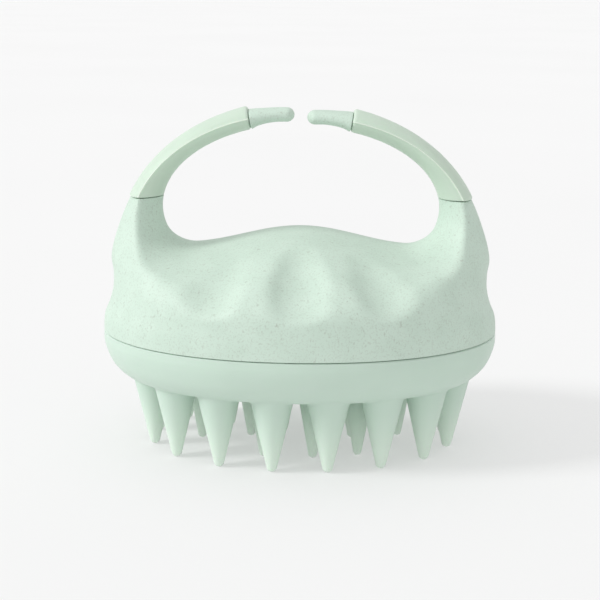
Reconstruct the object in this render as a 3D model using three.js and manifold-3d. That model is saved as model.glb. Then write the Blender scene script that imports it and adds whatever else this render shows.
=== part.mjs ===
// Scalp massager brush with an open finger ring.
//
// Millimetres, +Z up, +X along the long axis, -Y the front. The origin is on the surface that the
// brush stands on, under its middle: the teeth touch Z = 0.
//
// A hard shell carries two horns. An arm plugs into each horn and the two arms curve over to a small
// gap at the top, so that they make an open ring over the fingers. A soft sleeve covers each arm and
// an end cap closes it. A plate is screwed into the shell from below, and one soft moulding, the
// brush pad with its teeth, is stretched over the plate.

import * as THREE from 'three';
import { mergeVertices } from 'three/addons/utils/BufferGeometryUtils.js';
import Module from 'manifold-3d';

const wasm = await Module();
wasm.setup();

// ---------------------------------------------------------------- driving dimensions

const HALF_LENGTH = 45;           // half of the plan oval at the seam, along X
const HALF_DEPTH = 33;            // the same along Y
const PLAN_POWER = 2.07;          // 2 is an ellipse, more is squarer
const SEAM_Z = 27.2;              // where the shell meets the brush pad
const SEAM_GAP = 0.4;
const WALL = 2.4;                 // shell wall, and pad wall over the plate
const GAP = 0.3;                  // clearance between pieces that touch

// Outside of the shell: half length and half depth of the plan oval against height.
const SHELL_LENGTH_AT = [
  [18, 45], [27.2, 45], [30.8, 44.7], [33.5, 43.6], [37, 42.7],
  [40.5, 42.65], [44, 43.1], [50, 41.6], [57.7, 38.35], [66, 33],
];
const SHELL_DEPTH_AT = [
  [18, 33], [27.2, 33], [33, 32.9], [38, 31.9], [43, 26.4], [48, 20.7], [53, 18.2], [59, 17], [66, 16],
];

// Ring opening: an elliptic tunnel from front to back that flares towards both faces.
const OPENING_Z = 55;
const OPENING_HALF_WIDTH = 31.4;
const OPENING_HALF_HEIGHT = 18.8;
const FLARE_AT_HORN = 0.119;      // flare in mm per mm squared of Y, at the horn seam
const FLARE_DECAY = 0.097;        // how fast it eases off below the horn seam, per mm

// Saddle between the horns, which the palm side of the fingers rests on.
const SADDLE_CREST_Z = 50;
const SADDLE_VALLEY_Z = 45.95;
const SADDLE_VALLEY_X = 27;
const SADDLE_FALL = 0.0093;       // fall towards the front and back, mm per mm squared of Y

// Finger grooves on the front and the back. Each is the bed of a round-ended rod that thickens
// towards its foot. The grooves fan out downwards.
const GROOVE_TOP = { pitch: 14.75, y: 19.5, z: 52.8, radius: 6.9 };
const GROOVE_FOOT = { pitch: 20.4, y: 35.4, z: 47.6, radius: 11.9 };
const OUTER_GROOVE_SET_BACK = 2.9;

const EDGE_BLEND = 2.4;           // rounding where the skirt meets the tunnel
const GROOVE_BLEND = 1.85;
const SADDLE_BLEND = 5;

// Inside of the shell: the outside moved in by the wall, under a level ceiling.
const CAVITY_TOP_Z = 43;
const CAVITY_START_Z = 29;        // the cavity is felt out from a point on the axis at this height
const CAVITY_OVERSHOOT = 3;       // how far it runs down past the seam

// Arms. The inner curve is the ring opening's ellipse, the outer curve is another ellipse.
const HORN_SEAM_Z = 57.5;
const HORN_SEAM_GAP = 0.5;
const ARM_OUTER_Z = 46;
const ARM_OUTER_HALF_WIDTH = 41.5;
const ARM_OUTER_HALF_HEIGHT = 33.2;
const ARM_HINGE = { x: 35, z: 55 };                  // the line that an arm bends about
const RIGHT_ARM_LEAN = 1;                            // degrees that the right arm leans in at rest
const SLEEVE_START = { inner: 7.6, outer: 20.27 };   // degrees round the inner and the outer curve
const SLEEVE_END = { inner: 69.1, outer: 72.9 };
const SLEEVE_OPEN_SHARE = 0.014;  // the sleeve starts this far along its curves, above the open seam
const SLEEVE_HALF_DEPTH = { start: 6.2, end: 4.9 };
const SLEEVE_RIDGE = { start: 0.33, end: 0.48 };     // widest line, as a share of the thickness from outside
const SLEEVE_WALL = 1.2;
const BORE_SHARES = [-0.03, 1.04];                   // the bore runs past both ends of the sleeve
const LENS_POWER = 0.72;          // 0.5 is an ellipse, more gives a sharper ridge
const CORE_SHARES = [0.02, 0.985];                   // stretch of the arm that its core fills
const PEG_ROOT_SHARE = 0.97;
const TONGUE = { x: 35.3, bottom: 51.2, halfThickness: 1.9, halfDepth: 3.9, overlap: 0.8 };
const SOCKET_CLEARANCE = 0.55;
const CAP_STATIONS = [            // centre X, centre Z, tilt in degrees, thickness, half depth
  [11.33, 74.8, 79, 4.45, 4.5],
  [10, 75.25, 83, 3.85, 4.2],
  [8, 75.6, 87, 3.4, 3.9],
  [5.5, 75.87, 89, 3.2, 3.6],
  [3.4, 75.9, 90, 3.2, 3.4],
];
const CAP_END_X = 1.6;
const CAP_END_ROUNDING = [35, 62, 80];               // degrees round the end, one ring at each
const PEG = { halfThickness: 0.8, halfDepth: 2, endX: 6.6, play: 1.4 };

// Base plate and its screws.
const PLATE_Z = 21.6;
const PLATE_THICKNESS = 3;
const SPIGOT_TOP_Z = 28.9;
const SPIGOT_INSET = 3.5;
const SPIGOT_WALL = 2;
const SCREW_AT = [[27, 11], [-27, 11], [-27, -11], [27, -11]];
const BOSS_RADIUS = 3.4;
const BOSS_TOP_Z = 42.3;
const BOSS_GAP = 0.4;
const PILOT_RADIUS = 1.4;
const PILOT_TOP_Z = 35;
const SCREW = { shank: 1.1, head: 2.5, headHeight: 1.5, edge: 0.5, point: 1.5, top: 33.6 };
const RECESS = { halfLength: 1.4, halfWidth: 0.3, depth: 0.8 };
const COUNTERBORE = { radius: 2.9, depth: 1.9 };
const SCREW_HOLE_RADIUS = 1.6;

// Brush pad.
const PAD_INSET_AT = [            // inset of the pad's outside from the seam oval, against height
  [0.4, 27], [0, 26.5], [0, 25], [0.45, 23], [1.6, 20.3], [3.35, 18.2], [5.6, 16.6], [7.4, 16],
];
// Teeth stand on three ovals. Turns are degrees round an oval from +X; the outer teeth are evenly
// spaced but draw towards the front and the back by up to the crowding.
const TEETH_CENTRE_X = 0.5;
const OUTER_TEETH = { halfLength: 34.6, halfDepth: 24, count: 16, crowding: 2.8 };
const MIDDLE_TEETH = {
  halfLength: 23.2,
  halfDepth: 14.3,
  turns: [11, 44, 67, 87, 114, 137, 182, 218, 249, 277, 304, 326],
};
const INNER_TEETH = { halfLength: 12, halfDepth: 5.5, turns: [8, 60, 110, 168, 244, 284] };
const OUTER_TOOTH = [[0, 0], [0.55, 0], [1.1, 0.5], [1.42, 1.9], [2.5, 7], [4.5, 16.6]];
const INNER_TOOTH = [[0, 0], [0.7, 0], [1, 0.6], [1.4, 3], [3.6, 16.6]];

// Fineness of the faceting, and how far cutters run past what they cut.
const FAN_AXIS_Z = 62;            // the shell's section planes fan out from a line along Y here
const FAN_PLANES = 44;
const FAN_RAYS = 38;
const FAN_OVERSHOOT = 1.5;        // the outermost planes cross the horns this far above the seam
const SKIRT_UNDERCUT_Z = 22;      // the skirt runs on to here before it is cut at the seam
const RAY_LIMIT = 60;
const RAY_STEP = 0.5;
const RAY_HALVINGS = 24;
const CENTRE_SHARE = 0.6;         // rays start this far from the inner to the outer wall
const CAVITY_AROUND = 32;
const CAVITY_ROWS = 7;
const CAVITY_LAST_LIFT = 84;      // degrees from level to the cavity's last ring
const ARM_STEPS = 12;
const SLEEVE_SIDES = 18;
const CORE_SIDES = 12;
const PLATE_SIDES = 40;
const PAD_SIDES = 48;
const TOOTH_SIDES = 9;
const OVERRUN = 1;

// ---------------------------------------------------------------- materials

const shellPlastic = new THREE.MeshStandardMaterial({ color: 0xcfe0d4, roughness: 0.62, metalness: 0 });
const softSilicone = new THREE.MeshStandardMaterial({ color: 0xc6dccb, roughness: 0.5, metalness: 0 });
const innerPlastic = new THREE.MeshStandardMaterial({ color: 0xbfd0c4, roughness: 0.6, metalness: 0 });
const screwSteel = new THREE.MeshStandardMaterial({ color: 0xb5b7ba, roughness: 0.35, metalness: 0.9 });

// ---------------------------------------------------------------- solids

const brush = new THREE.Group();

function toSolid(geometry) {
  const bare = geometry.clone();
  bare.deleteAttribute('normal');
  bare.deleteAttribute('uv');
  const merged = mergeVertices(bare, 1e-4);
  return new wasm.Manifold(new wasm.Mesh({
    numProp: 3,
    vertProperties: new Float32Array(merged.attributes.position.array),
    triVerts: new Uint32Array(merged.index.array),
  }));
}

function toGeometry(solid) {
  const mesh = solid.getMesh();
  const geometry = new THREE.BufferGeometry();
  geometry.setAttribute('position', new THREE.BufferAttribute(mesh.vertProperties, 3));
  geometry.setIndex(new THREE.BufferAttribute(mesh.triVerts, 1));
  geometry.computeVertexNormals();
  return geometry;
}

function addPiece(name, geometry, material, parent = brush) {
  const mesh = new THREE.Mesh(geometry, material);
  mesh.name = name;
  parent.add(mesh);
  return mesh;
}

// A closed skin over a row of rings with equally many points, with a fan of triangles on each end.
// The rings may run either way round: the faces are turned outwards at the end.
function skin(rings) {
  const around = rings[0].length;
  const first = meanPoint(rings[0]);
  const last = meanPoint(rings[rings.length - 1]);
  const points = [...rings.flat(), first, last];
  const index = [];
  for (let row = 0; row + 1 < rings.length; row += 1) {
    for (let i = 0; i < around; i += 1) {
      const a = row * around + i;
      const b = row * around + ((i + 1) % around);
      const c = b + around;
      const d = a + around;
      if (points[a].distanceTo(points[c]) < points[b].distanceTo(points[d])) {
        index.push(a, b, c, a, c, d);
      } else {
        index.push(a, b, d, b, c, d);
      }
    }
  }
  const lastRow = (rings.length - 1) * around;
  for (let i = 0; i < around; i += 1) {
    const next = (i + 1) % around;
    index.push(points.length - 2, next, i);
    index.push(points.length - 1, lastRow + i, lastRow + next);
  }
  const volume = signedVolume(points, index);
  const geometry = new THREE.BufferGeometry().setFromPoints(points);
  geometry.setIndex(volume < 0 ? index.reverse() : index);
  return geometry;
}

function signedVolume(points, index) {
  let volume = 0;
  const cross = new THREE.Vector3();
  for (let i = 0; i < index.length; i += 3) {
    cross.crossVectors(points[index[i + 1]], points[index[i + 2]]);
    volume += points[index[i]].dot(cross) / 6;
  }
  return volume;
}

function meanPoint(points) {
  const sum = new THREE.Vector3();
  for (const point of points) {
    sum.add(point);
  }
  return sum.divideScalar(points.length);
}

function cylinder(radius, bottom, top, x, y, sides = 16) {
  const geometry = new THREE.CylinderGeometry(radius, radius, top - bottom, sides);
  geometry.rotateX(Math.PI / 2);
  geometry.translate(x, y, (bottom + top) / 2);
  return toSolid(geometry);
}

// ---------------------------------------------------------------- profiles and fields

// Smooth curve through [place, value] pairs: a cubic whose slope at each pair follows its neighbours.
function profile(pairs) {
  const slope = pairs.map((pair, i) => {
    const before = pairs[Math.max(i - 1, 0)];
    const after = pairs[Math.min(i + 1, pairs.length - 1)];
    return (after[1] - before[1]) / (after[0] - before[0]);
  });
  return (place) => {
    let i = 0;
    while (i < pairs.length - 2 && place > pairs[i + 1][0]) {
      i += 1;
    }
    const span = pairs[i + 1][0] - pairs[i][0];
    const t = THREE.MathUtils.clamp((place - pairs[i][0]) / span, 0, 1);
    const rise = pairs[i + 1][1] - pairs[i][1];
    const lift = slope[i] * span * t * (1 - t) * (1 - t);
    const drop = slope[i + 1] * span * t * t * (1 - t);
    return pairs[i][1] + rise * t * t * (3 - 2 * t) + lift - drop;
  };
}

const shellLengthAt = profile(SHELL_LENGTH_AT);
const shellDepthAt = profile(SHELL_DEPTH_AT);

// The larger of two fields, rounded where they are within a distance of each other.
function smoothMax(a, b, distance) {
  const near = Math.max(distance - Math.abs(a - b), 0) / distance;
  return Math.max(a, b) + (near * near * distance) / 4;
}

// Signed distance, roughly, from an oval of the plan's power. Negative is inside.
function ovalField(x, y, halfX, halfY, power) {
  const across = Math.abs(x) / halfX;
  const along = Math.abs(y) / halfY;
  const reach = (across ** power + along ** power) ** (1 / power);
  if (reach < 1e-3) {
    return -Math.min(halfX, halfY);
  }
  const shrink = reach ** (1 - power);
  const slopeX = (shrink * across ** (power - 1)) / halfX;
  const slopeY = (shrink * along ** (power - 1)) / halfY;
  return (reach - 1) / Math.hypot(slopeX, slopeY);
}

function tunnelField(x, y, z) {
  const flare = FLARE_AT_HORN * Math.exp(-FLARE_DECAY * (HORN_SEAM_Z - z));
  const opening = ovalField(x, z - OPENING_Z, OPENING_HALF_WIDTH, OPENING_HALF_HEIGHT, 2) - flare * y * y;
  const swell = 0.5 + 0.5 * Math.cos((Math.PI * Math.min(Math.abs(x), SADDLE_VALLEY_X)) / SADDLE_VALLEY_X);
  const saddle = SADDLE_VALLEY_Z + (SADDLE_CREST_Z - SADDLE_VALLEY_Z) * swell - SADDLE_FALL * y * y;
  return smoothMax(opening, saddle - z, SADDLE_BLEND);
}

const grooves = [-1, 0, 1].map((side) => {
  const back = Math.abs(side) * OUTER_GROOVE_SET_BACK;
  const top = new THREE.Vector3(side * GROOVE_TOP.pitch, GROOVE_TOP.y - back, GROOVE_TOP.z);
  const foot = new THREE.Vector3(side * GROOVE_FOOT.pitch, GROOVE_FOOT.y - back, GROOVE_FOOT.z);
  return new THREE.Line3(top, foot);
});

// Signed distance, roughly, from a groove's rod. Negative is inside.
function grooveField(point, groove) {
  const share = groove.closestPointToPointParameter(point, true);
  const nearest = groove.at(share, new THREE.Vector3());
  return point.distanceTo(nearest) - THREE.MathUtils.lerp(GROOVE_TOP.radius, GROOVE_FOOT.radius, share);
}

// Outside of the whole shell: the skirt, less the tunnel, less the grooves on both faces.
function shellField(x, y, z) {
  const skirt = ovalField(x, y, shellLengthAt(z), shellDepthAt(z), PLAN_POWER);
  let field = smoothMax(skirt, -tunnelField(x, y, z), EDGE_BLEND);
  const point = new THREE.Vector3(x, Math.abs(y), z);
  for (const groove of grooves) {
    field = smoothMax(field, -grooveField(point, groove), GROOVE_BLEND);
  }
  return field;
}

// First place where a field turns positive on the way from a point inside it.
function surfaceFrom(field, start, direction, limit) {
  const point = new THREE.Vector3();
  const at = (distance) => {
    point.copy(start).addScaledVector(direction, distance);
    return field(point.x, point.y, point.z);
  };
  let far = RAY_STEP;
  while (far < limit && at(far) < 0) {
    far += RAY_STEP;
  }
  let near = far - RAY_STEP;
  for (let i = 0; i < RAY_HALVINGS; i += 1) {
    const middle = (near + far) / 2;
    if (at(middle) < 0) {
      near = middle;
    } else {
      far = middle;
    }
  }
  return start.clone().addScaledVector(direction, near);
}

// ---------------------------------------------------------------- upper shell

function fieldAboveUndercut(x, y, z) {
  return Math.max(shellField(x, y, z), SKIRT_UNDERCUT_Z - z);
}

// Distance from the fan's axis to the first place along a direction that lies well inside the shell.
function reachOfInnerWall(axis, outward) {
  const probe = new THREE.Vector3();
  for (let reach = RAY_STEP; reach < RAY_LIMIT; reach += RAY_STEP / 2) {
    probe.copy(axis).addScaledVector(outward, reach);
    if (fieldAboveUndercut(probe.x, 0, probe.z) < -RAY_STEP) {
      return reach;
    }
  }
  throw new Error('the fan of section planes misses the shell');
}

function shellRing(angle) {
  const outward = new THREE.Vector3(Math.cos(angle), 0, -Math.sin(angle));
  const axis = new THREE.Vector3(0, 0, FAN_AXIS_Z);
  const innerReach = reachOfInnerWall(axis, outward);
  const inside = axis.clone().addScaledVector(outward, innerReach);
  const outerReach = surfaceFrom(fieldAboveUndercut, inside, outward, RAY_LIMIT).distanceTo(axis);
  const centreReach = THREE.MathUtils.lerp(innerReach, outerReach, CENTRE_SHARE);
  const centre = axis.clone().addScaledVector(outward, centreReach);
  const ring = [];
  for (let i = 0; i < FAN_RAYS; i += 1) {
    const turn = (2 * Math.PI * i) / FAN_RAYS;
    const direction = outward.clone().multiplyScalar(Math.cos(turn));
    direction.y = -Math.sin(turn);
    ring.push(surfaceFrom(fieldAboveUndercut, centre, direction, RAY_LIMIT));
  }
  return ring;
}

// The outermost planes cross the horns a little above the seam, where they are cut off level.
const hornEndAngle = Math.atan2(FAN_AXIS_Z - HORN_SEAM_Z - FAN_OVERSHOOT, OPENING_HALF_WIDTH);

function shellBlank() {
  const rings = [];
  for (let i = 0; i <= FAN_PLANES; i += 1) {
    const angle = THREE.MathUtils.lerp(hornEndAngle, Math.PI - hornEndAngle, i / FAN_PLANES);
    rings.push(shellRing(angle));
  }
  return toSolid(skin(rings));
}

// ---------------------------------------------------------------- arms

// One lens-shaped section from an inner to an outer point, both in the XZ plane. The widest line,
// where the two mould halves meet, lies at a share of the thickness from the outside.
function lensSection(inner, outer, halfDepth, ridge, count) {
  const across = outer.clone().sub(inner);
  const ring = [];
  for (let i = 0; i < count; i += 1) {
    const turn = (2 * Math.PI * i) / count;
    const depth = -halfDepth * Math.sin(turn);
    const bulge = (Math.cos(turn) ** 2) ** LENS_POWER;
    const reach = Math.cos(turn) > 0 ? 1 - ridge + ridge * bulge : (1 - ridge) * (1 - bulge);
    const point = inner.clone().addScaledVector(across, reach);
    point.y = depth;
    ring.push(point);
  }
  return ring;
}

function between(pair, share) {
  return THREE.MathUtils.lerp(pair.start, pair.end, share);
}

function armStation(share) {
  const innerAngle = THREE.MathUtils.lerp(SLEEVE_START.inner, SLEEVE_END.inner, share);
  const outerAngle = THREE.MathUtils.lerp(SLEEVE_START.outer, SLEEVE_END.outer, share);
  const innerTurn = THREE.MathUtils.degToRad(innerAngle);
  const outerTurn = THREE.MathUtils.degToRad(outerAngle);
  const inner = new THREE.Vector3(
    OPENING_HALF_WIDTH * Math.cos(innerTurn),
    0,
    OPENING_Z + OPENING_HALF_HEIGHT * Math.sin(innerTurn),
  );
  const outer = new THREE.Vector3(
    ARM_OUTER_HALF_WIDTH * Math.cos(outerTurn),
    0,
    ARM_OUTER_Z + ARM_OUTER_HALF_HEIGHT * Math.sin(outerTurn),
  );
  return { inner, outer, halfDepth: between(SLEEVE_HALF_DEPTH, share), ridge: between(SLEEVE_RIDGE, share) };
}

// The arm's section at a share of its length, drawn in by an inset all round.
function armSection(share, inset, count) {
  const { inner, outer, halfDepth, ridge } = armStation(share);
  const unit = outer.clone().sub(inner).normalize();
  inner.addScaledVector(unit, inset);
  outer.addScaledVector(unit, -inset);
  return lensSection(inner, outer, halfDepth - inset, ridge, count);
}

function barSection(centreX, centreZ, halfThickness, halfDepth, tilt, count) {
  const unit = new THREE.Vector3(Math.cos(tilt), 0, Math.sin(tilt));
  const centre = new THREE.Vector3(centreX, 0, centreZ);
  const inner = centre.clone().addScaledVector(unit, -halfThickness);
  const outer = centre.clone().addScaledVector(unit, halfThickness);
  return lensSection(inner, outer, halfDepth, 0.5, count);
}

function sleeveSolid() {
  const outside = [];
  const bore = [];
  for (let i = 0; i <= ARM_STEPS; i += 1) {
    const share = THREE.MathUtils.lerp(SLEEVE_OPEN_SHARE, 1, i / ARM_STEPS);
    outside.push(armSection(share, 0, SLEEVE_SIDES));
    const boreShare = THREE.MathUtils.lerp(...BORE_SHARES, i / ARM_STEPS);
    bore.push(armSection(boreShare, SLEEVE_WALL, CORE_SIDES));
  }
  return toSolid(skin(outside)).subtract(toSolid(skin(bore)));
}

// The root of the arm's core, which stands in the horn's socket.
function tongueSolid(clearance) {
  const seam = armStation(0);
  const seamCentreX = (seam.inner.x + seam.outer.x) / 2;
  const slope = (seamCentreX - TONGUE.x) / (HORN_SEAM_Z - TONGUE.bottom);
  const halfThickness = TONGUE.halfThickness + clearance;
  const halfDepth = TONGUE.halfDepth + clearance;
  const heights = [TONGUE.bottom - clearance, HORN_SEAM_Z, HORN_SEAM_Z + TONGUE.overlap];
  const rings = heights.map((z) => {
    const x = TONGUE.x + slope * (z - TONGUE.bottom);
    return barSection(x, z, halfThickness, halfDepth, 0, CORE_SIDES);
  });
  return toSolid(skin(rings));
}

// The peg at the end of the arm's core, which the cap is pushed onto.
function pegSolid(clearance, endX) {
  const halfThickness = PEG.halfThickness + clearance;
  const halfDepth = PEG.halfDepth + clearance;
  const rings = [PEG_ROOT_SHARE, 1].map((share) => {
    const { inner, outer } = armStation(share);
    const middle = inner.clone().add(outer).divideScalar(2);
    const tilt = Math.atan2(outer.z - inner.z, outer.x - inner.x);
    return barSection(middle.x, middle.z, halfThickness, halfDepth, tilt, CORE_SIDES);
  });
  for (const [x, z, tilt] of CAP_STATIONS.slice(1)) {
    if (x > endX) {
      rings.push(barSection(x, z, halfThickness, halfDepth, THREE.MathUtils.degToRad(tilt), CORE_SIDES));
    }
  }
  return toSolid(skin(rings));
}

function coreSolid() {
  const rings = [];
  for (let i = 0; i <= ARM_STEPS; i += 1) {
    const share = THREE.MathUtils.lerp(...CORE_SHARES, i / ARM_STEPS);
    rings.push(armSection(share, SLEEVE_WALL + GAP, CORE_SIDES));
  }
  return toSolid(skin(rings)).add(tongueSolid(0)).add(pegSolid(0, PEG.endX));
}

// The cap tapers towards the gap at the top of the ring and ends round.
function capSolid() {
  const rings = CAP_STATIONS.map(([x, z, tilt, thickness, halfDepth]) => {
    return barSection(x, z, thickness / 2, halfDepth, THREE.MathUtils.degToRad(tilt), SLEEVE_SIDES);
  });
  const [lastX, lastZ, , lastThickness, lastHalfDepth] = CAP_STATIONS[CAP_STATIONS.length - 1];
  for (const degrees of CAP_END_ROUNDING) {
    const turn = THREE.MathUtils.degToRad(degrees);
    const x = THREE.MathUtils.lerp(lastX, CAP_END_X, Math.sin(turn));
    const shrink = Math.cos(turn);
    const halfThickness = (lastThickness / 2) * shrink;
    rings.push(barSection(x, lastZ, halfThickness, lastHalfDepth * shrink, Math.PI / 2, SLEEVE_SIDES));
  }
  return toSolid(skin(rings)).subtract(pegSolid(GAP, PEG.endX - PEG.play));
}

// Pieces on the left are the right-hand ones mirrored in X, with their faces turned back outwards.
function mirrored(geometry) {
  const copy = geometry.clone();
  copy.scale(-1, 1, 1);
  const index = copy.index.array;
  for (let i = 0; i < index.length; i += 3) {
    const swap = index[i];
    index[i] = index[i + 1];
    index[i + 1] = swap;
  }
  copy.computeVertexNormals();
  return copy;
}

// ---------------------------------------------------------------- upper shell, finished

function boxSolid(low, high) {
  const size = high.clone().sub(low);
  const geometry = new THREE.BoxGeometry(size.x, size.y, size.z);
  const middle = low.clone().add(high).divideScalar(2);
  geometry.translate(middle.x, middle.y, middle.z);
  return toSolid(geometry);
}

function cavityField(x, y, z) {
  return Math.max(shellField(x, y, z) + WALL, z - CAVITY_TOP_Z);
}

// A dome of rays above a straight-sided skirt that runs down through the seam.
function cavitySolid() {
  const start = new THREE.Vector3(0, 0, CAVITY_START_Z);
  const rows = [];
  for (let row = 0; row <= CAVITY_ROWS; row += 1) {
    const lift = (row / CAVITY_ROWS) * THREE.MathUtils.degToRad(CAVITY_LAST_LIFT);
    const ring = [];
    for (let i = 0; i < CAVITY_AROUND; i += 1) {
      const turn = (2 * Math.PI * i) / CAVITY_AROUND;
      const flat = Math.cos(lift);
      const direction = new THREE.Vector3(flat * Math.cos(turn), flat * Math.sin(turn), Math.sin(lift));
      ring.push(surfaceFrom(cavityField, start, direction, RAY_LIMIT));
    }
    rows.push(ring);
  }
  const floor = rows[0].map((point) => new THREE.Vector3(point.x, point.y, SEAM_Z - CAVITY_OVERSHOOT));
  return toSolid(skin([floor, ...rows]));
}

function upperShell() {
  const reach = new THREE.Vector3(HALF_LENGTH + OVERRUN, HALF_DEPTH + OVERRUN, 0);
  const shellFloor = reach.clone().setZ(SEAM_Z + SEAM_GAP / 2);
  const hornEnd = reach.clone().negate().setZ(HORN_SEAM_Z - HORN_SEAM_GAP / 2);
  const below = boxSolid(reach.clone().negate(), shellFloor);
  const above = boxSolid(hornEnd, reach.clone().setZ(FAN_AXIS_Z));
  let shell = shellBlank().subtract(below).subtract(above).subtract(cavitySolid());
  const plateTop = PLATE_Z + PLATE_THICKNESS;
  for (const [x, y] of SCREW_AT) {
    shell = shell.add(cylinder(BOSS_RADIUS, plateTop + BOSS_GAP, BOSS_TOP_Z, x, y));
  }
  for (const [x, y] of SCREW_AT) {
    shell = shell.subtract(cylinder(PILOT_RADIUS, plateTop - OVERRUN, PILOT_TOP_Z, x, y, 10));
  }
  const socket = tongueSolid(SOCKET_CLEARANCE);
  const mirroredSocket = toSolid(mirrored(toGeometry(socket)));
  return shell.subtract(socket).subtract(mirroredSocket);
}

// ---------------------------------------------------------------- base plate and screws

function oval(inset, z, count, power = PLAN_POWER) {
  const ring = [];
  for (let i = 0; i < count; i += 1) {
    const turn = (2 * Math.PI * i) / count;
    const c = Math.cos(turn);
    const s = Math.sin(turn);
    const x = Math.sign(c) * Math.abs(c) ** (2 / power) * (HALF_LENGTH - inset);
    const y = Math.sign(s) * Math.abs(s) ** (2 / power) * (HALF_DEPTH - inset);
    ring.push(new THREE.Vector3(x, y, z));
  }
  return ring;
}

function ovalSlab(inset, bottom, top) {
  return toSolid(skin([oval(inset, bottom, PLATE_SIDES), oval(inset, top, PLATE_SIDES)]));
}

function basePlate() {
  const plateTop = PLATE_Z + PLATE_THICKNESS;
  const spigot = ovalSlab(SPIGOT_INSET, plateTop - OVERRUN, SPIGOT_TOP_Z);
  const well = ovalSlab(SPIGOT_INSET + SPIGOT_WALL, plateTop, SPIGOT_TOP_Z + OVERRUN);
  let plate = ovalSlab(WALL + GAP, PLATE_Z, plateTop).add(spigot).subtract(well);
  for (const [x, y] of SCREW_AT) {
    const hole = cylinder(SCREW_HOLE_RADIUS, PLATE_Z - OVERRUN, plateTop + OVERRUN, x, y, 12);
    const counterbore = cylinder(COUNTERBORE.radius, PLATE_Z - OVERRUN, PLATE_Z + COUNTERBORE.depth, x, y);
    plate = plate.subtract(hole).subtract(counterbore);
  }
  return plate;
}

// Pan-head screw on the Z axis, head down, with a cross recess.
function screwSolid() {
  const headBottom = PLATE_Z + GAP / 2;
  const headTop = headBottom + SCREW.headHeight;
  const profilePoints = [
    [0, headBottom],
    [SCREW.head - SCREW.edge, headBottom],
    [SCREW.head, headBottom + SCREW.edge],
    [SCREW.head, headTop],
    [SCREW.shank, headTop],
    [SCREW.shank, SCREW.top - SCREW.point],
    [0, SCREW.top],
  ].map(([radius, height]) => new THREE.Vector2(radius, height));
  const turned = new THREE.LatheGeometry(profilePoints, 12);
  turned.rotateX(Math.PI / 2);
  let screw = toSolid(turned);
  const { halfLength, halfWidth, depth } = RECESS;
  for (const [halfX, halfY] of [[halfLength, halfWidth], [halfWidth, halfLength]]) {
    const low = new THREE.Vector3(-halfX, -halfY, headBottom - OVERRUN);
    const high = new THREE.Vector3(halfX, halfY, headBottom + depth);
    screw = screw.subtract(boxSolid(low, high));
  }
  return screw;
}

// ---------------------------------------------------------------- brush pad

function toothSolid(outline, x, y) {
  const points = outline.map(([radius, height]) => new THREE.Vector2(radius, height));
  points.push(new THREE.Vector2(0, outline[outline.length - 1][1]));
  const tooth = new THREE.LatheGeometry(points, TOOTH_SIDES);
  tooth.rotateX(Math.PI / 2);
  tooth.translate(x, y, 0);
  return toSolid(tooth);
}

function outerTurns() {
  const turns = [];
  for (let i = 0; i < OUTER_TEETH.count; i += 1) {
    const even = (360 * (i + 0.5)) / OUTER_TEETH.count;
    turns.push(even + OUTER_TEETH.crowding * Math.sin(2 * THREE.MathUtils.degToRad(even)));
  }
  return turns;
}

function teethOn({ halfLength, halfDepth }, turns, outline) {
  return turns.map((degrees) => {
    const turn = THREE.MathUtils.degToRad(degrees);
    return toothSolid(outline, TEETH_CENTRE_X + halfLength * Math.cos(turn), halfDepth * Math.sin(turn));
  });
}

function brushPad() {
  const rings = [...PAD_INSET_AT].reverse().map(([inset, z]) => oval(inset, z, PAD_SIDES));
  const cup = toSolid(skin(rings));
  let pad = cup.subtract(ovalSlab(WALL, PLATE_Z - GAP, SEAM_Z + OVERRUN));
  const teeth = [
    ...teethOn(OUTER_TEETH, outerTurns(), OUTER_TOOTH),
    ...teethOn(MIDDLE_TEETH, MIDDLE_TEETH.turns, INNER_TOOTH),
    ...teethOn(INNER_TEETH, INNER_TEETH.turns, INNER_TOOTH),
  ];
  for (const tooth of teeth) {
    pad = pad.add(tooth);
  }
  return pad;
}

// ---------------------------------------------------------------- assembly

addPiece('upper_shell', toGeometry(upperShell()), shellPlastic);

// Each arm is a group at its hinge line.
function armGroup(side) {
  const arm = new THREE.Group();
  arm.position.set(side * ARM_HINGE.x, 0, ARM_HINGE.z);
  brush.add(arm);
  return arm;
}

const rightArm = armGroup(1);
const leftArm = armGroup(-1);
rightArm.rotation.y = -THREE.MathUtils.degToRad(RIGHT_ARM_LEAN);

const armPieces = [
  ['arm_core', coreSolid(), innerPlastic],
  ['grip_sleeve', sleeveSolid(), softSilicone],
  ['tip_cap', capSolid(), shellPlastic],
];
for (const [name, solid, material] of armPieces) {
  const geometry = toGeometry(solid);
  geometry.translate(-ARM_HINGE.x, 0, -ARM_HINGE.z);
  addPiece(`right_${name}`, geometry, material, rightArm);
  addPiece(`left_${name}`, mirrored(geometry), material, leftArm);
}

addPiece('base_plate', toGeometry(basePlate()), innerPlastic);
const screwGeometry = toGeometry(screwSolid());
SCREW_AT.forEach(([x, y], i) => {
  const screw = addPiece(`screw_${i + 1}`, screwGeometry, screwSteel);
  screw.position.set(x, y, 0);
});
addPiece('brush_pad', toGeometry(brushPad()), softSilicone);

export default brush;
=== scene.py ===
import math

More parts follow.
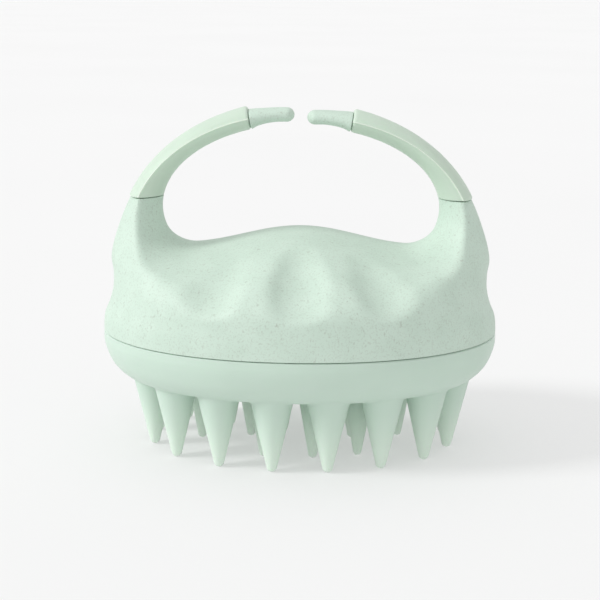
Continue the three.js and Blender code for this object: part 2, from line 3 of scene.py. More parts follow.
import bmesh
import bpy
import numpy as np
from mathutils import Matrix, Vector


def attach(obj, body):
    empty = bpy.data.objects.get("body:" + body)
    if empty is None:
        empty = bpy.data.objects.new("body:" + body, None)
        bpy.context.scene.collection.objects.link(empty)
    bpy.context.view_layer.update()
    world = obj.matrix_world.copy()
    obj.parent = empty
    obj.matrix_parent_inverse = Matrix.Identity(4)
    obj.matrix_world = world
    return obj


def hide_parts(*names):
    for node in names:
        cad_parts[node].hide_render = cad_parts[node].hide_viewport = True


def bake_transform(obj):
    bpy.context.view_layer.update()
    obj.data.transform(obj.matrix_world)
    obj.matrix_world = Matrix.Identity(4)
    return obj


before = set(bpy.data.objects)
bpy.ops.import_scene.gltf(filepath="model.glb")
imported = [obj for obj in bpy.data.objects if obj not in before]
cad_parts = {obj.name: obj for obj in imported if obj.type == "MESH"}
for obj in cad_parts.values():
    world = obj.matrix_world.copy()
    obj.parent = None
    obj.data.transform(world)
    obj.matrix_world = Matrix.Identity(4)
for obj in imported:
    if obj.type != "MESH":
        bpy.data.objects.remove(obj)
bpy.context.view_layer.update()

# The frame is in metres. The shape formulas below work in millimetres, as the CAD source does, and
# every mesh is scaled by MM when it is made.
MM = 0.001

# ---------------------------------------------------------------- dimensions, in millimetres

HALF_LENGTH = 45.0
HALF_DEPTH = 33.0
PLAN_POWER = 2.07                # of the plan oval: a little fuller than an ellipse
SEAM_Z = 27.2
SHELL_FLOOR_Z = 27.31            # the shell and the pad stop just short of the seam, which leaves its line
PAD_TOP_Z = 27.11
WALL = 2.4

# Half length and half depth of the shell's plan oval against height.
SHELL_LENGTH_AT = [
    (18, 45), (27.2, 45), (30.8, 44.7), (33.5, 43.6), (37, 42.7),
    (40.5, 42.65), (44, 43.1), (50, 41.6), (57.7, 38.35), (66, 33),
]
SHELL_DEPTH_AT = [
    (18, 33), (27.2, 33), (33, 32.9), (38, 31.9), (43, 26.4), (48, 20.7), (53, 18.2), (59, 17), (66, 16),
]

# The finger tunnel: an oval opening that flares towards both faces, over a saddle.
OPENING_Z = 55.0
OPENING_HALF_WIDTH = 31.4
OPENING_HALF_HEIGHT = 18.8
FLARE_AT_HORN = 0.119
FLARE_DECAY = 0.097
SADDLE_CREST_Z = 50.0
SADDLE_VALLEY_Z = 45.95
SADDLE_VALLEY_X = 27.0
SADDLE_FALL = 0.0093

# A finger groove is cut by a tapered rod. X of the outer two is the pitch, and they are set back
# towards the middle, as the oval face is there.
GROOVE_TOP = {"pitch": 14.75, "y": 19.5, "z": 52.8, "radius": 6.9}
GROOVE_FOOT = {"pitch": 20.4, "y": 35.4, "z": 47.6, "radius": 11.9}
OUTER_GROOVE_SET_BACK = 2.9
EDGE_BLEND = 1.2                 # rounding where the skirt meets the tunnel
GROOVE_BLEND = 1.3
SADDLE_BLEND = 5.0

HORN_SEAM_Z = 57.5
HORN_END_Z = 57.38               # the horn stops just short of the sleeve
ARM_OUTER_CENTRE_Z = 46.0
ARM_OUTER_HALF_WIDTH = 41.5
ARM_OUTER_HALF_HEIGHT = 33.2
ARM_HINGE = (35.0, 55.0)         # X and Z of the line that an arm bends about
RIGHT_ARM_LEAN = 1.0             # degrees that the right arm leans in at rest
# A sleeve runs between two ovals, the opening and a larger outer one. These are degrees round them.
SLEEVE_START = {"inner": 7.6, "outer": 20.27}
SLEEVE_END = {"inner": 69.1, "outer": 72.9}
SLEEVE_HALF_DEPTH = (6.2, 4.9)   # at its foot and at its end
SLEEVE_RIDGE = (0.33, 0.48)      # its widest line, as a share of its thickness in from the outside
SLEEVE_WALL = 1.2
LENS_POWER = 0.6                 # of its section: 0.5 would be an ellipse, and more sharpens the ridge


# ---------------------------------------------------------------- shape formulas

LEAST_REACH = 1e-3               # these keep the formulas finite at an oval's middle
LEAST_SLOPE = 1e-4


def profile(pairs):
    """Smooth curve through (place, value) pairs: a cubic whose slope at each follows its neighbours."""
    place = np.array([p[0] for p in pairs], float)
    value = np.array([p[1] for p in pairs], float)
    last = len(pairs) - 1
    before = np.maximum(np.arange(last + 1) - 1, 0)
    after = np.minimum(np.arange(last + 1) + 1, last)
    slope = (value[after] - value[before]) / (place[after] - place[before])

    def at(where):
        i = np.clip(np.searchsorted(place, where) - 1, 0, last - 1)
        span = place[i + 1] - place[i]
        t = np.clip((where - place[i]) / span, 0, 1)
        rise = value[i + 1] - value[i]
        lift = slope[i] * span * t * (1 - t) ** 2
        drop = slope[i + 1] * span * t * t * (1 - t)
        return value[i] + rise * t * t * (3 - 2 * t) + lift - drop

    return at


shell_length_at = profile(SHELL_LENGTH_AT)
shell_depth_at = profile(SHELL_DEPTH_AT)


def smooth_max(a, b, distance):
    """The larger of two fields, rounded where they are within a distance of each other."""
    near = np.maximum(distance - np.abs(a - b), 0) / distance
    return np.maximum(a, b) + near * near * distance / 4


def smooth_min(a, b, distance):
    return -smooth_max(-a, -b, distance)


def oval_field(x, y, half_x, half_y, power):
    """Signed distance, roughly, from an oval of that power. Negative is inside."""
    across = np.abs(x) / half_x
    along = np.abs(y) / half_y
    reach = np.maximum((across ** power + along ** power) ** (1 / power), LEAST_REACH)
    shrink = reach ** (1 - power)
    slope = np.hypot(shrink * across ** (power - 1) / half_x, shrink * along ** (power - 1) / half_y)
    return (reach - 1) / np.maximum(slope, LEAST_SLOPE)


def tunnel_field(x, y, z):
    flare = FLARE_AT_HORN * np.exp(-FLARE_DECAY * (HORN_SEAM_Z - z))
    opening = oval_field(x, z - OPENING_Z, OPENING_HALF_WIDTH, OPENING_HALF_HEIGHT, 2) - flare * y * y
    swell = 0.5 + 0.5 * np.cos(math.pi * np.minimum(np.abs(x), SADDLE_VALLEY_X) / SADDLE_VALLEY_X)
    saddle = SADDLE_VALLEY_Z + (SADDLE_CREST_Z - SADDLE_VALLEY_Z) * swell - SADDLE_FALL * y * y
    return smooth_max(opening, saddle - z, SADDLE_BLEND)


def tapered_rod(points, start, end, start_radius, end_radius):
    """Signed distance, roughly, from a rod with round ends whose radius changes evenly along it."""
    line = end - start
    t = np.clip((points - start) @ line / (line @ line), 0, 1)
    radius = start_radius + (end_radius - start_radius) * t
    return np.linalg.norm(points - (start + t[:, None] * line), axis=1) - radius


def shell_field(points):
    """Outside of the upper shell: the skirt, less the finger tunnel, less the grooves on both faces."""
    x, y, z = points.T
    skirt = oval_field(x, y, shell_length_at(z), shell_depth_at(z), PLAN_POWER)
    field = smooth_max(skirt, -tunnel_field(x, y, z), EDGE_BLEND)
    folded = np.column_stack([x, np.abs(y), z])
    for side in (-1, 0, 1):
        back = abs(side) * OUTER_GROOVE_SET_BACK
        top = np.array([side * GROOVE_TOP["pitch"], GROOVE_TOP["y"] - back, GROOVE_TOP["z"]])
        foot = np.array([side * GROOVE_FOOT["pitch"], GROOVE_FOOT["y"] - back, GROOVE_FOOT["z"]])
        groove = tapered_rod(folded, top, foot, GROOVE_TOP["radius"], GROOVE_FOOT["radius"])
        field = smooth_max(field, -groove, GROOVE_BLEND)
    return field


def gradient(field, points, step=0.02):
    slope = np.empty_like(points)
    for axis in range(3):
        nudge = np.zeros(3)
        nudge[axis] = step
        slope[:, axis] = (field(points + nudge) - field(points - nudge)) / (2 * step)
    return slope


def settle(field, points, rounds=6, longest=0.6):
    """Move points onto the field's surface along its slope, at most a short way in each round."""
    points = points.copy()
    for _ in range(rounds):
        slope = gradient(field, points)
        move = -field(points)[:, None] * slope / np.maximum((slope ** 2).sum(1), 1e-6)[:, None]
        length = np.linalg.norm(move, axis=1, keepdims=True)
        points += move * np.minimum(1, longest / np.maximum(length, 1e-9))
    return points


# ---------------------------------------------------------------- mesh helpers

def new_object(name, vertices, faces):
    mesh = bpy.data.meshes.new(name)
    mesh.from_pydata([tuple(v) for v in np.asarray(vertices, float) * MM], [], faces)
    mesh.validate()
    mesh.update()
    obj = bpy.data.objects.new(name, mesh)
    bpy.context.scene.collection.objects.link(obj)
    return obj


def ring_faces(rows, around, closed_rows=False):
    faces = []
    last = rows if closed_rows else rows - 1
    for row in range(last):
        above = (row + 1) % rows
        for i in range(around):
            j = (i + 1) % around
            faces.append((row * around + i, row * around + j, above * around + j, above * around + i))
    return faces


def loft(name, rings):
    """A closed skin over a row of rings, with one flat face on each end."""
    rows, around = len(rings), len(rings[0])
    faces = ring_faces(rows, around)
    faces.append(tuple(reversed(range(around))))
    faces.append(tuple(range((rows - 1) * around, rows * around)))
    obj = new_object(name, np.concatenate(rings), faces)
    face_outwards(obj)
    return obj


def face_outwards(obj):
    bm = bmesh.new()
    bm.from_mesh(obj.data)
    bmesh.ops.recalc_face_normals(bm, faces=bm.faces)
    bm.to_mesh(obj.data)
    bm.free()
    obj.data.update()


def apply_modifiers(obj):
    graph = bpy.context.evaluated_depsgraph_get()
    mesh = bpy.data.meshes.new_from_object(obj.evaluated_get(graph))
    obj.modifiers.clear()
    old = obj.data
    obj.data = mesh
    bpy.data.meshes.remove(old)


def remesh(obj, voxel):
    modifier = obj.modifiers.new("remesh", "REMESH")
    modifier.mode = "VOXEL"
    modifier.voxel_size = voxel * MM
    apply_modifiers(obj)


def subtract(obj, cutter):
    modifier = obj.modifiers.new("cut", "BOOLEAN")
    modifier.operation = "DIFFERENCE"
    modifier.solver = "EXACT"
    modifier.object = cutter
    bpy.context.view_layer.update()
    apply_modifiers(obj)
    bpy.data.objects.remove(cutter)


def points_of(obj):
    co = np.empty(len(obj.data.vertices) * 3, np.float64)
    obj.data.vertices.foreach_get("co", co)
    return co.reshape(-1, 3) / MM


def set_points(obj, points):
    obj.data.vertices.foreach_set("co", (points * MM).astype(np.float32).ravel())
    obj.data.update()


def cut_level(obj, level, keep_above, chamfer, drop=None):
    """Cut the mesh off level, close it, and break the new edge with a small chamfer.

    drop(points) gives the direction in which a point on the edge moves inwards."""
    sign = 1 if keep_above else -1
    bm = bmesh.new()
    bm.from_mesh(obj.data)
    normal = (0, 0, -sign)
    whole = bm.verts[:] + bm.edges[:] + bm.faces[:]
    bmesh.ops.bisect_plane(
        bm, geom=whole, plane_co=(0, 0, (level + sign * chamfer) * MM), plane_no=normal, dist=1e-7
    )
    whole = bm.verts[:] + bm.edges[:] + bm.faces[:]
    bmesh.ops.bisect_plane(
        bm, geom=whole, plane_co=(0, 0, level * MM), plane_no=normal, dist=1e-7, clear_outer=True
    )
    rim = [edge for edge in bm.edges if edge.is_boundary]
    edge_verts = {vert for edge in rim for vert in edge.verts}
    if drop is not None:
        spots = np.array([vert.co[:] for vert in edge_verts]) / MM
        moved = spots + drop(spots) * chamfer
        for vert, place in zip(edge_verts, moved):
            vert.co = Vector(place * MM)
    bmesh.ops.holes_fill(bm, edges=rim, sides=0)
    bmesh.ops.recalc_face_normals(bm, faces=bm.faces)
    bm.to_mesh(obj.data)
    bm.free()
    obj.data.update()


def inwards(field):
    def direction(points):
        slope = gradient(field, points)
        slope[:, 2] = 0
        return -slope / np.linalg.norm(slope, axis=1, keepdims=True)

    return direction


SHARP_ANGLE = 38                 # degrees; edges that turn more than this stay crisp


def shade(obj, material):
    obj.data.materials.clear()
    obj.data.materials.append(material)
    for polygon in obj.data.polygons:
        polygon.material_index = 0
    obj.data.shade_smooth()
    obj.data.set_sharp_from_angle(angle=math.radians(SHARP_ANGLE))


# ---------------------------------------------------------------- upper shell

FAN_AXIS_Z = 62.0            # section planes fan out from a line along Y at this height
FAN_PLANES = 120
FAN_RAYS = 110
FAN_START = 5.0
SKIRT_BOTTOM_Z = 23.0        # the skirt runs on to here before it is cut at the seam
FIXED_BELOW = 1.2            # its lowest part stays as it is meshed, to be cut away
HORN_OVERRUN = 1.5           # the horns run on past their seam before they are cut
CENTRE_MARGIN = 0.4          # a section's centre lies at least this far inside
CENTRE_STEP = 0.25
CENTRE_SHARE = 0.6           # how far from the first face to the next it lies
RAY_LIMIT = 62.0
SHELL_VOXEL = 0.62
CAVITY_START_Z = 29.0
CAVITY_TOP_Z = 43.0
CAVITY_AROUND = 72
CAVITY_ROWS = 18
CAVITY_TOP_LIFT = 86         # degrees; the dome's last ring is a small flat at the ceiling
CAVITY_OVERSHOOT = 3.0
SEAM_CHAMFER = 0.1
HORN_CHAMFER = 0.14


def first_crossing(field, start, direction, limit, step=0.4, rounds=22):
    """First place where a field turns positive along each ray from a point inside it."""
    far = np.full(len(start), limit)
    waiting = np.ones(len(start), bool)
    for stride in range(1, int(limit / step) + 1):
        reach = stride * step
        value = field(start[waiting] + direction[waiting] * reach)
        hit = np.flatnonzero(waiting)[value >= 0]
        far[hit] = reach
        waiting[hit] = False
        if not waiting.any():
            break
    near = far - step
    for _ in range(rounds):
        middle = (near + far) / 2
        outside = field(start + direction * middle[:, None]) >= 0
        far = np.where(outside, middle, far)
        near = np.where(outside, near, middle)
    return start + direction * near[:, None]


def undercut_field(points):
    return np.maximum(shell_field(points), SKIRT_BOTTOM_Z - points[:, 2])


def fan_centre(outward):
    """A point well inside the shell's section, in the half plane that runs outward from the fan's axis."""
    axis = np.array([0, 0, FAN_AXIS_Z])
    reach = np.arange(FAN_START, RAY_LIMIT, CENTRE_STEP)
    inside = undercut_field(axis + reach[:, None] * outward) < -CENTRE_MARGIN
    first = int(np.argmax(inside))
    beyond = np.flatnonzero(~inside[first:])
    last = first + (int(beyond[0]) if len(beyond) else len(inside) - first) - 1
    share = reach[first] + CENTRE_SHARE * (reach[last] - reach[first])
    return axis + share * outward


def shell_blank():
    end_angle = math.atan2(FAN_AXIS_Z - HORN_SEAM_Z - HORN_OVERRUN, OPENING_HALF_WIDTH)
    turns = 2 * math.pi * np.arange(FAN_RAYS) / FAN_RAYS
    starts, directions = [], []
    for angle in np.linspace(end_angle, math.pi - end_angle, FAN_PLANES):
        outward = np.array([math.cos(angle), 0, -math.sin(angle)])
        starts.append(np.tile(fan_centre(outward), (FAN_RAYS, 1)))
        forward = np.array([0, -1, 0])
        directions.append(np.cos(turns)[:, None] * outward + np.sin(turns)[:, None] * forward)
    start, direction = np.concatenate(starts), np.concatenate(directions)
    surface = first_crossing(undercut_field, start, direction, RAY_LIMIT)
    return loft("upper_shell_visual", surface.reshape(FAN_PLANES, FAN_RAYS, 3))


def cavity_field(points):
    return np.maximum(shell_field(points) + WALL, points[:, 2] - CAVITY_TOP_Z)


def cavity():
    lift = np.linspace(0, math.radians(CAVITY_TOP_LIFT), CAVITY_ROWS)
    turn = 2 * math.pi * np.arange(CAVITY_AROUND) / CAVITY_AROUND
    flat = np.cos(lift)[:, None] * np.ones(CAVITY_AROUND)
    upwards = np.sin(lift)[:, None] * np.ones(CAVITY_AROUND)
    direction = np.stack([flat * np.cos(turn), flat * np.sin(turn), upwards], axis=2).reshape(-1, 3)
    start = np.tile(np.array([0, 0, CAVITY_START_Z]), (len(direction), 1))
    dome = first_crossing(cavity_field, start, direction, RAY_LIMIT)
    dome = dome.reshape(CAVITY_ROWS, CAVITY_AROUND, 3)
    floor = dome[0].copy()
    floor[:, 2] = SEAM_Z - CAVITY_OVERSHOOT
    return loft("cavity", [floor, *dome])


def build_shell():
    shell = shell_blank()
    remesh(shell, SHELL_VOXEL)
    points = points_of(shell)
    free = points[:, 2] > SKIRT_BOTTOM_Z + FIXED_BELOW
    points[free] = settle(shell_field, points[free])
    set_points(shell, points)
    cut_level(shell, SHELL_FLOOR_Z, True, SEAM_CHAMFER, inwards(shell_field))
    cut_level(shell, HORN_END_Z, False, HORN_CHAMFER, inwards(shell_field))
    subtract(shell, cavity())
    for side in (1, -1):
        subtract(shell, socket_cutter(side))
    return shell


# ---------------------------------------------------------------- arms

TONGUE = {"x": 35.3, "bottom": 51.2, "half_thickness": 1.9, "half_depth": 3.9}
SOCKET_CLEARANCE = 0.55
SOCKET_OVERRUN = 0.8              # the socket's cutter runs on past the horn's seam
SOCKET_SIDES = 32
SLEEVE_STATIONS = 72
SLEEVE_FIRST_SHARE = 0.0035       # leaves the seam line between the sleeve and the horn
SLEEVE_LENGTH = 38.0              # roughly, along the arm
SLEEVE_AROUND = 144
SLEEVE_EDGE = 0.22                # small rounding of its foot
SLEEVE_EDGE_SHARES = (0.002, 0.007)    # where on the arm that rounding is part done and done
EDGE_PART = 0.3                   # how much of the inset is left part way round a small edge
SLEEVE_END_ROUND = 0.7            # the upper end is rounder
SLEEVE_END_STEPS = 7
MOULD_LINE = 0.3                  # height of the thin line along the sleeve's ridge
MOULD_LINE_WIDTH = 0.2
RIDGE_HIGHLIGHT_TURN = 0.075           # width of the painted highlight along the line, as a cosine round the section
CAP_STATIONS = [                  # centre X, centre Z, tilt in degrees, thickness, half depth
    (11.5, 74.8, 79, 4.45, 4.5),
    (10, 75.25, 83, 3.85, 4.2),
    (8, 75.6, 87, 3.4, 3.9),
    (5.5, 75.87, 89, 3.2, 3.6),
    (3.4, 75.9, 90, 3.2, 3.4),
]
CAP_END_X = 1.6
CAP_AROUND = 72
CAP_POWER = 2.25
CAP_ROWS = 40
CAP_EDGE = 0.16                   # small rounding where it meets the sleeve
CAP_END_STEPS = 14
CAP_END_BLUNTNESS = 0.35          # the more, the blunter its round end is across its depth
CAP_END_TURNS = (8, 88)           # degrees round the end of its first and last ring
CAP_START_STEP = 0.05


def lens_section(inner, outer, half_depth, ridge, count, power=LENS_POWER, line=0.0):
    """One section of an arm, from an inner to an outer point in the XZ plane, with its widest line at
    a share of the thickness from the outside, where the mould left a thin line."""
    turn = 2 * math.pi * np.arange(count) / count
    bulge = np.abs(np.cos(turn)) ** (2 * power)
    reach = np.where(np.cos(turn) > 0, 1 - ridge + ridge * bulge, (1 - ridge) * (1 - bulge))
    ring = inner + reach[:, None] * (outer - inner)
    from_line = (reach - 1 + ridge) * np.linalg.norm(outer - inner)
    on_line = np.exp(-(from_line / MOULD_LINE_WIDTH) ** 2)
    ring[:, 1] = -half_depth * np.sin(turn) - line * on_line * np.sign(np.sin(turn))
    return ring


def arm_station(share):
    start, end = SLEEVE_START, SLEEVE_END
    inner_angle = math.radians(start["inner"] + share * (end["inner"] - start["inner"]))
    outer_angle = math.radians(start["outer"] + share * (end["outer"] - start["outer"]))
    inner_z = OPENING_Z + OPENING_HALF_HEIGHT * math.sin(inner_angle)
    inner = np.array([OPENING_HALF_WIDTH * math.cos(inner_angle), 0, inner_z])
    outer_z = ARM_OUTER_CENTRE_Z + ARM_OUTER_HALF_HEIGHT * math.sin(outer_angle)
    outer = np.array([ARM_OUTER_HALF_WIDTH * math.cos(outer_angle), 0, outer_z])
    half_depth = SLEEVE_HALF_DEPTH[0] + share * (SLEEVE_HALF_DEPTH[1] - SLEEVE_HALF_DEPTH[0])
    ridge = SLEEVE_RIDGE[0] + share * (SLEEVE_RIDGE[1] - SLEEVE_RIDGE[0])
    return inner, outer, half_depth, ridge


def arm_section(share, inset, line=0.0):
    inner, outer, half_depth, ridge = arm_station(share)
    unit = (outer - inner) / np.linalg.norm(outer - inner)
    start, end = inner + inset * unit, outer - inset * unit
    return lens_section(start, end, half_depth - inset, ridge, SLEEVE_AROUND, line=line)


def socket_cutter(side):
    """The tongue that an arm's core has below the seam, with a clearance all round."""
    inner, outer, _, _ = arm_station(0)
    seam_x = (inner[0] + outer[0]) / 2
    slope = (seam_x - TONGUE["x"]) / (HORN_SEAM_Z - TONGUE["bottom"])
    half_thickness = np.array([TONGUE["half_thickness"] + SOCKET_CLEARANCE, 0, 0])
    half_depth = TONGUE["half_depth"] + SOCKET_CLEARANCE
    rings = []
    # A ridge and a power of 0.5 make each section an ellipse.
    for z in (TONGUE["bottom"] - SOCKET_CLEARANCE, HORN_SEAM_Z + SOCKET_OVERRUN):
        centre = np.array([TONGUE["x"] + slope * (z - TONGUE["bottom"]), 0, z])
        start, end = centre - half_thickness, centre + half_thickness
        rings.append(lens_section(start, end, half_depth, 0.5, SOCKET_SIDES, power=0.5) * (side, 1, 1))
    return loft("socket", rings)


def placed(rings, side):
    """Arm rings made for the right side, put on their own side; the right arm leans in a little."""
    rings = np.array(rings, float)
    if side < 0:
        return rings * (-1, 1, 1)
    lean = math.radians(RIGHT_ARM_LEAN)
    x, z = rings[..., 0] - ARM_HINGE[0], rings[..., 2] - ARM_HINGE[1]
    leaning = rings.copy()
    leaning[..., 0] = ARM_HINGE[0] + x * math.cos(lean) - z * math.sin(lean)
    leaning[..., 2] = ARM_HINGE[1] + x * math.sin(lean) + z * math.cos(lean)
    return leaning


def build_sleeve(side):
    """A closed tube: up the outside, round the end, down the bore and round the other end."""
    first, last = SLEEVE_FIRST_SHARE, 1.0
    shares = np.linspace(first, last, SLEEVE_STATIONS)
    outside = [arm_section(share, 0, MOULD_LINE) for share in shares]
    bore = [arm_section(share, SLEEVE_WALL) for share in shares[::-1]]
    foot_lip = [
        arm_section(first, SLEEVE_EDGE),
        arm_section(first + SLEEVE_EDGE_SHARES[0], SLEEVE_EDGE * EDGE_PART),
        arm_section(first + SLEEVE_EDGE_SHARES[1], 0, MOULD_LINE),
    ]
    end_lip = []
    for angle in np.linspace(0, math.pi / 2, SLEEVE_END_STEPS):
        share = last - (1 - math.sin(angle)) * SLEEVE_END_ROUND / SLEEVE_LENGTH
        inset = (1 - math.cos(angle)) * SLEEVE_END_ROUND
        end_lip.append(arm_section(share, inset, MOULD_LINE))
    rings = placed([*foot_lip, *outside[1:-2], *end_lip, *bore], side)
    faces = ring_faces(len(rings), SLEEVE_AROUND, closed_rows=True)
    name = "right_sleeve_visual" if side > 0 else "left_sleeve_visual"
    obj = new_object(name, rings.reshape(-1, 3), faces)
    face_outwards(obj)
    mark_ridge_highlight(obj, len(rings), len(rings) - len(bore))
    return obj


def mark_ridge_highlight(sleeve, rows, outer_rows):
    """Store how near each point is to the mould line, where the silicone gets a painted highlight."""
    turn = 2 * math.pi * np.arange(SLEEVE_AROUND) / SLEEVE_AROUND
    nearness = np.zeros((rows, SLEEVE_AROUND), np.float32)
    nearness[:outer_rows] = np.exp(-(np.cos(turn) / RIDGE_HIGHLIGHT_TURN) ** 2)
    attribute = sleeve.data.attributes.new("mould_line", "FLOAT", "POINT")
    attribute.data.foreach_set("value", nearness.ravel())


def cap_ring(x, z, tilt, half_thickness, half_depth):
    turn = 2 * math.pi * np.arange(CAP_AROUND) / CAP_AROUND
    thick = np.sign(np.cos(turn)) * np.abs(np.cos(turn)) ** (2 / CAP_POWER)
    deep = np.sign(np.sin(turn)) * np.abs(np.sin(turn)) ** (2 / CAP_POWER)
    unit = np.array([math.cos(tilt), 0, math.sin(tilt)])
    ring = np.array([x, 0, z]) + half_thickness * thick[:, None] * unit
    ring[:, 1] = -half_depth * deep
    return ring


def build_cap(side):
    """A bar with a rounded end that tapers from the sleeve's end to the gap at the top of the ring."""
    stations = np.array(CAP_STATIONS[::-1], float)
    column = [profile(list(zip(stations[:, 0], stations[:, i]))) for i in range(1, 5)]
    start_x, round_x = CAP_STATIONS[0][0], CAP_STATIONS[-1][0]
    part_x, edge_x = start_x - CAP_START_STEP, start_x - CAP_EDGE
    rings = []
    for x, inset in ((start_x, CAP_EDGE), (part_x, CAP_EDGE * EDGE_PART), (edge_x, 0)):
        z, tilt, thickness, depth = (float(f(x)) for f in column)
        rings.append(cap_ring(x, z, math.radians(tilt), thickness / 2 - inset, depth - inset))
    for x in np.linspace(edge_x, round_x, CAP_ROWS)[1:]:
        z, tilt, thickness, depth = (float(f(x)) for f in column)
        rings.append(cap_ring(x, z, math.radians(tilt), thickness / 2, depth))
    _, end_z, _, thickness, depth = CAP_STATIONS[-1]
    for angle in np.radians(np.linspace(*CAP_END_TURNS, CAP_END_STEPS)):
        x = round_x + (CAP_END_X - round_x) * math.sin(angle)
        shrink = math.cos(angle)
        end_depth = depth * (CAP_END_BLUNTNESS + (1 - CAP_END_BLUNTNESS) * shrink) * shrink ** 0.5
        rings.append(cap_ring(x, end_z, math.pi / 2, thickness / 2 * shrink, end_depth))
    return loft("right_cap_visual" if side > 0 else "left_cap_visual", placed(rings, side))


# ---------------------------------------------------------------- brush pad

PAD_FLOOR_Z = 16.0
PAD_INSET_AT = [                 # height, inset of the pad's outside from the seam oval
    (15, 9.8), (16, 7.4), (16.6, 5.6), (18.2, 3.35), (20.3, 1.6), (23, 0.45), (25, 0), (26.5, 0), (30, 0),
]
PAD_BLANK_TOP_Z = 29.0           # the pad runs on to here before it is cut at the seam
PAD_BLANK_AT = (16.05, 16.6, 18.2, 20.3, 23, 26, PAD_BLANK_TOP_Z)
FIXED_ABOVE = 0.8                # its highest part stays as it is meshed, to be cut away
PAD_VOXEL = 0.5
PAD_CUP_FLOOR_Z = 21.3
PAD_SIDES = 160
PAD_CHAMFER = 0.25
FLOOR_BLEND = 1.6
ROOT_BLEND = 0.6
# Teeth stand on three ovals. Turns are degrees round an oval from +X; the outer teeth are evenly
# spaced but draw towards the front and the back by up to the crowding.
TEETH_CENTRE_X = 0.5
OUTER_TEETH = {"half_length": 34.6, "half_depth": 24.0, "count": 16, "crowding": 2.8}
MIDDLE_TEETH = {
    "half_length": 23.2,
    "half_depth": 14.3,
    "turns": [11, 44, 67, 87, 114, 137, 182, 218, 249, 277, 304, 326],
}
INNER_TEETH = {"half_length": 12.0, "half_depth": 5.5, "turns": [8, 60, 110, 168, 244, 284]}
OUTER_TOOTH = {"tip": 1.2, "root": 5.55, "root_z": 20.5}
INNER_TOOTH = {"tip": 1.0, "root": 4.35, "root_z": 20.5}
TOOTH_REACH = 9.0                # a tooth changes the pad's surface no further from its axis than this
TOOTH_SIDES = 20
TOOTH_BLANK_AT = (0.1, 0.6, 1.4, 4, 8, 12, PAD_FLOOR_Z + 2)


def outer_turns():
    even = 360 * (np.arange(OUTER_TEETH["count"]) + 0.5) / OUTER_TEETH["count"]
    return even + OUTER_TEETH["crowding"] * np.sin(2 * np.radians(even))


def teeth_on(ring, turns, tooth):
    places = []
    for turn in np.radians(turns):
        x = TEETH_CENTRE_X + ring["half_length"] * math.cos(turn)
        y = ring["half_depth"] * math.sin(turn)
        places.append((x, y, tooth["tip"], tooth["root"], tooth["root_z"]))
    return places


def tooth_places():
    return [
        *teeth_on(OUTER_TEETH, outer_turns(), OUTER_TOOTH),
        *teeth_on(MIDDLE_TEETH, MIDDLE_TEETH["turns"], INNER_TOOTH),
        *teeth_on(INNER_TEETH, INNER_TEETH["turns"], INNER_TOOTH),
    ]


TEETH = tooth_places()
pad_inset_at = profile(PAD_INSET_AT)


def round_cone(points, x, y, tip, root, root_z):
    """Distance from a cone that ends in one ball at the tip, resting on Z = 0, and one at the root."""
    height = root_z - tip
    slope = (root - tip) / height
    rise = math.sqrt(1 - slope * slope)
    across = np.hypot(points[:, 0] - x, points[:, 1] - y)
    along = points[:, 2] - tip
    # The balls' radii grow upwards, so the flank leans outwards with height.
    blend = across * slope + along * rise
    flank = across * rise - along * slope - tip
    at_tip = np.hypot(across, along) - tip
    at_root = np.hypot(across, along - height) - root
    return np.where(blend < 0, at_tip, np.where(blend > height * rise, at_root, flank))


def pad_body_field(points):
    x, y, z = points.T
    inset = pad_inset_at(z)
    side = oval_field(x, y, HALF_LENGTH - inset, HALF_DEPTH - inset, PLAN_POWER)
    return smooth_max(side, PAD_FLOOR_Z - z, FLOOR_BLEND)


def pad_field(points):
    field = pad_body_field(points)
    for tooth in TEETH:
        near = np.hypot(points[:, 0] - tooth[0], points[:, 1] - tooth[1]) < TOOTH_REACH
        field[near] = smooth_min(field[near], round_cone(points[near], *tooth), ROOT_BLEND)
    return field


def oval_ring(inset, z, count):
    turn = 2 * math.pi * np.arange(count) / count
    c, s = np.cos(turn), np.sin(turn)
    x = np.sign(c) * np.abs(c) ** (2 / PLAN_POWER) * (HALF_LENGTH - inset)
    y = np.sign(s) * np.abs(s) ** (2 / PLAN_POWER) * (HALF_DEPTH - inset)
    return np.column_stack([x, y, np.full(count, z)])


def disc_rings(radius, z_values, x, y, count=40):
    turn = 2 * math.pi * np.arange(count) / count
    across = x + radius * np.cos(turn)
    along = y + radius * np.sin(turn)
    return [np.column_stack([across, along, np.full(count, z)]) for z in z_values]


def tooth_blank(place):
    """A rough tooth that the remeshed pad starts from, before its surface settles."""
    x, y, tip, root, root_z = place
    rings = []
    for z in TOOTH_BLANK_AT:
        if z < tip:
            radius = math.sqrt(tip * tip - (tip - z) ** 2)
        else:
            radius = tip + (root - tip) * (z - tip) / (root_z - tip)
        rings += disc_rings(radius, (z,), x, y, TOOTH_SIDES)
    return rings


def build_pad():
    blocks = [[oval_ring(float(pad_inset_at(z)), z, PAD_SIDES) for z in PAD_BLANK_AT]]
    blocks += [tooth_blank(place) for place in TEETH]
    vertices, faces, offset = [], [], 0
    for rings in blocks:
        around = len(rings[0])
        part = ring_faces(len(rings), around)
        part.append(tuple(reversed(range(around))))
        part.append(tuple(range((len(rings) - 1) * around, len(rings) * around)))
        faces += [tuple(i + offset for i in face) for face in part]
        vertices += rings
        offset += around * len(rings)
    pad = new_object("brush_pad_visual", np.concatenate(vertices), faces)
    face_outwards(pad)
    remesh(pad, PAD_VOXEL)
    points = points_of(pad)
    free = points[:, 2] < PAD_BLANK_TOP_Z - FIXED_ABOVE
    points[free] = settle(pad_field, points[free])
    set_points(pad, points)
    cut_level(pad, PAD_TOP_Z, False, PAD_CHAMFER, inwards(pad_body_field))
    cup = [oval_ring(WALL, z, PAD_SIDES) for z in (PAD_CUP_FLOOR_Z, SEAM_Z + 1)]
    subtract(pad, loft("cup", cup))
    return pad


# ---------------------------------------------------------------- base plate and screws

